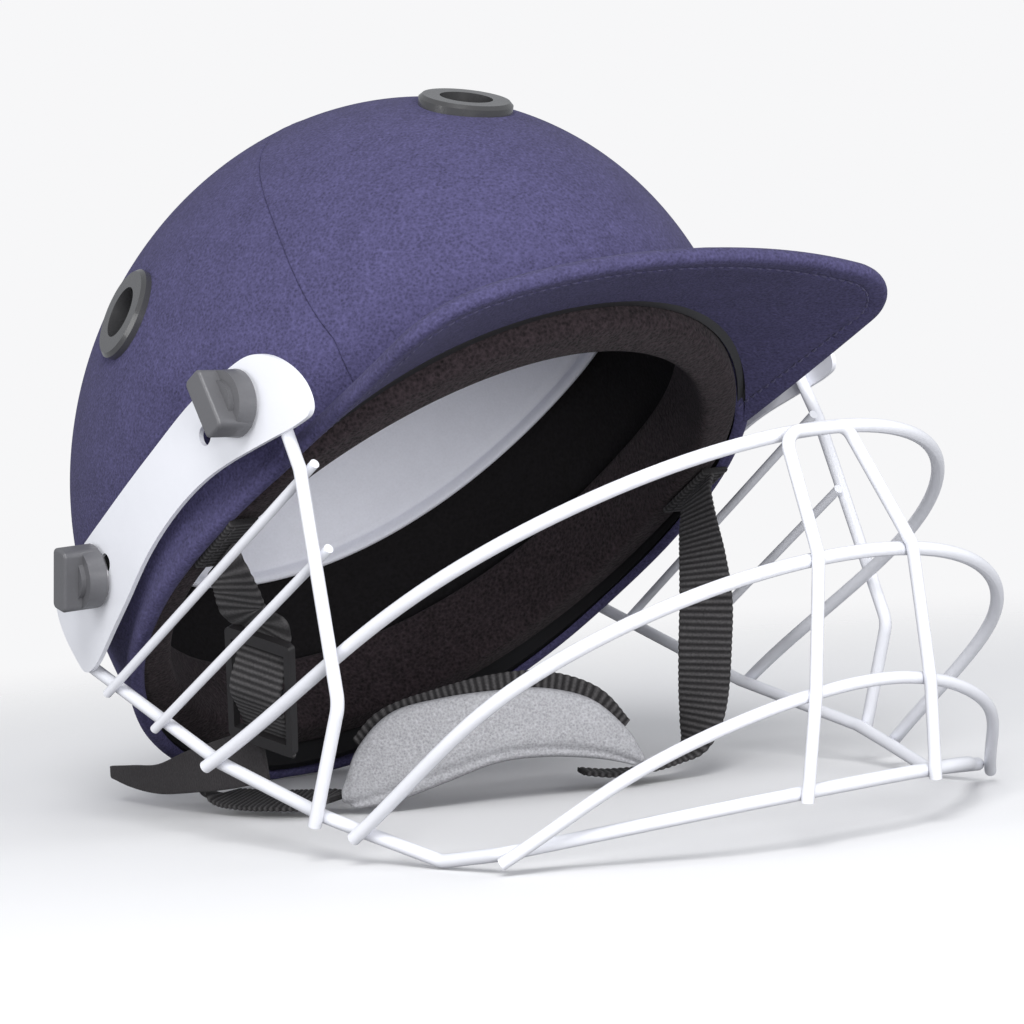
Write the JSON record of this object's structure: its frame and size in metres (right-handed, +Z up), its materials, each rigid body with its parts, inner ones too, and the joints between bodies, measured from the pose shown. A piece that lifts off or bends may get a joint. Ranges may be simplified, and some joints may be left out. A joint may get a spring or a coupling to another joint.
{
  "type": "cricket helmet",
  "caption": "Cloth-covered sports helmet with a peak, padded rim, welded wire face grille on screwed side plates, and a chin strap with a cup.",
  "frame": {"origin": "on the table under the middle of the helmet's bounding box", "axes": "+X towards the wearer's left, +Y towards the back of the helmet, -Y towards the front, +Z up, in the stance in which the helmet rests on a table"},
  "size_m": [0.2474, 0.3629, 0.2335],
  "materials": {
    "shell_plastic": "satin moulded plastic",
    "navy_cloth": "woven cloth, matt",
    "vent_plastic": "moulded plastic, satin",
    "black_foam": "cloth-faced foam, matt",
    "liner_cloth": "smooth cloth, matt",
    "band_felt": "felt-faced foam, matt",
    "white_metal": "powder-coated steel, gloss",
    "black_rubber": "moulded rubber, matt",
    "plated_steel": "zinc-plated steel",
    "black_webbing": "woven webbing, matt",
    "black_elastic": "ribbed woven elastic, matt",
    "buckle_plastic": "moulded plastic, satin",
    "cup_foam": "coated foam, satin",
    "knob_plastic": "moulded plastic, matt"
  },
  "bodies": {
    "helmet": {"hard_shell": "shell_plastic", "front_cover_panel": "navy_cloth", "rear_cover_panel": "navy_cloth", "peak_cover": "navy_cloth", "vent_back_rings": "vent_plastic", "front_vent": "vent_plastic", "right_vent": "vent_plastic", "left_vent": "vent_plastic", "foam_lining": "black_foam", "crown_liner": "liner_cloth", "rim_band": "band_felt", "right_side_plate": "white_metal", "left_side_plate": "white_metal", "spacers": "black_rubber", "thread_nuts": "plated_steel", "main_frame": "white_metal", "upper_hoop": "white_metal", "middle_hoop": "white_metal", "lower_hoop": "white_metal", "front_staple": "white_metal", "right_upright": "white_metal", "left_upright": "white_metal", "right_upper_bar": "white_metal", "right_lower_bar": "white_metal", "left_upper_bar": "white_metal", "left_lower_bar": "white_metal", "right_strap_patch": "black_webbing", "left_strap_patch": "black_webbing", "strap_buckle": "buckle_plastic", "right_strap": "black_webbing", "strap_tab": "black_webbing", "lower_elastic": "black_elastic", "chin_cup": "cup_foam", "cup_elastic": "black_elastic", "left_strap": "black_elastic"},
    "right_front_washer_body": {"right_front_washer": "plated_steel"},
    "right_front_knob_body": {"right_front_knob": "knob_plastic", "right_front_screw": "plated_steel"},
    "right_rear_washer_body": {"right_rear_washer": "plated_steel"},
    "right_rear_knob_body": {"right_rear_knob": "knob_plastic", "right_rear_screw": "plated_steel"},
    "left_front_washer_body": {"left_front_washer": "plated_steel"},
    "left_front_knob_body": {"left_front_knob": "knob_plastic", "left_front_screw": "plated_steel"},
    "left_rear_washer_body": {"left_rear_washer": "plated_steel"},
    "left_rear_knob_body": {"left_rear_knob": "knob_plastic", "left_rear_screw": "plated_steel"}
  },
  "joints": [
    {"name": "right_front_lift", "type": "slide", "parent": "helmet", "child": "right_front_washer_body", "axis": [-0.9935, -0.0991, 0.0556], "range_m": [0, 0.0032]},
    {"name": "right_front_turn", "type": "hinge", "parent": "right_front_washer_body", "child": "right_front_knob_body", "pos_m": [-0.10636, -0.02325, 0.13678], "axis": [-0.9935, -0.0991, 0.0556], "range_deg": [0, 1440]},
    {"name": "right_rear_lift", "type": "slide", "parent": "helmet", "child": "right_rear_washer_body", "axis": [-0.9986, 0.0462, -0.0259], "range_m": [0, 0.0032]},
    {"name": "right_rear_turn", "type": "hinge", "parent": "right_rear_washer_body", "child": "right_rear_knob_body", "pos_m": [-0.1096, 0.06972, 0.08461], "axis": [-0.9986, 0.0462, -0.0259], "range_deg": [0, 1440]},
    {"name": "left_front_lift", "type": "slide", "parent": "helmet", "child": "left_front_washer_body", "axis": [0.9935, -0.0991, 0.0556], "range_m": [0, 0.0032]},
    {"name": "left_front_turn", "type": "hinge", "parent": "left_front_washer_body", "child": "left_front_knob_body", "pos_m": [0.10636, -0.02325, 0.13678], "axis": [0.9935, -0.0991, 0.0556], "range_deg": [0, 1440]},
    {"name": "left_rear_lift", "type": "slide", "parent": "helmet", "child": "left_rear_washer_body", "axis": [0.9986, 0.0462, -0.0259], "range_m": [0, 0.0032]},
    {"name": "left_rear_turn", "type": "hinge", "parent": "left_rear_washer_body", "child": "left_rear_knob_body", "pos_m": [0.1096, 0.06972, 0.08461], "axis": [0.9986, 0.0462, -0.0259], "range_deg": [0, 1440]}
  ],
  "couplings": [
    {"joint": "right_front_turn", "follows": "right_front_lift", "rad_per_m": 7854},
    {"joint": "right_rear_turn", "follows": "right_rear_lift", "rad_per_m": 7854},
    {"joint": "left_front_turn", "follows": "left_front_lift", "rad_per_m": 7854},
    {"joint": "left_rear_turn", "follows": "left_rear_lift", "rad_per_m": 7854}
  ]
}
